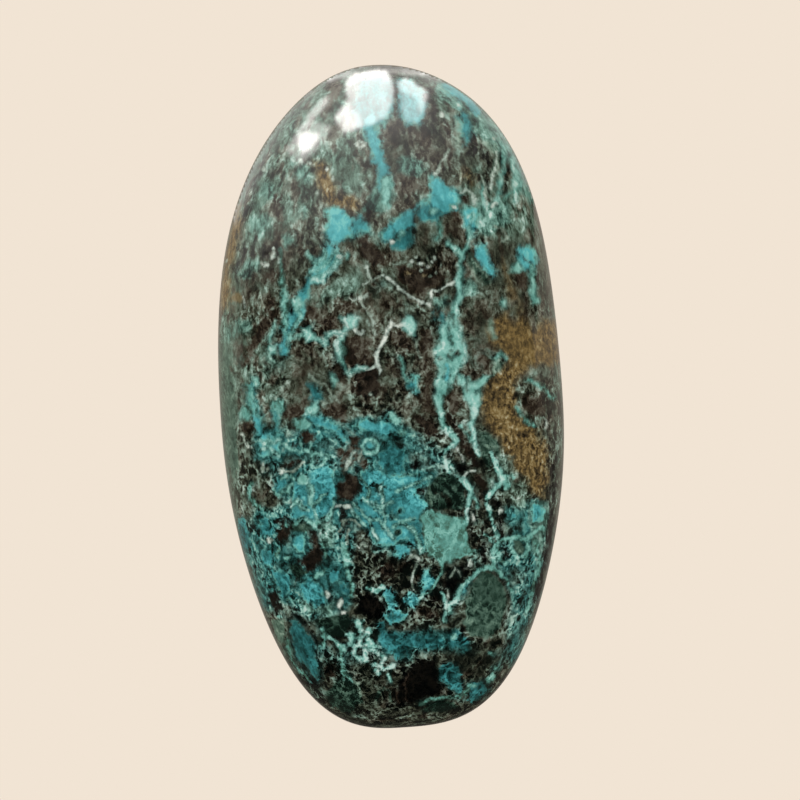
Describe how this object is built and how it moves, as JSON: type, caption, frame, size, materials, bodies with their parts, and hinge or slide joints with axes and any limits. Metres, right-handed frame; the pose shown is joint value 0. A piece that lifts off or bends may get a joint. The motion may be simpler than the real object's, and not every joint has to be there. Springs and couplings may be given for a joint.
{
  "type": "azurite cabochon",
  "caption": "Polished oval cabochon of azurite, chrysocolla and malachite in dark matrix, domed on top with a flat bevelled back to rest on or set.",
  "frame": {"origin": "centre of the flat back, at the middle of the oval's bounding box", "axes": "+Z up out of the domed face, +Y along the oval's long axis to the greyer-green end that has the few small solid turquoise patches (the other end is darker and bluer), +X to the right looking down on the dome with +Y upwards"},
  "size_m": [0.0206, 0.0398, 0.007],
  "materials": {
    "stone": "polished teal, mint, brown and black mottled copper-ore stone"
  },
  "bodies": {
    "root": {"stone": "stone"}
  },
  "joints": []
}
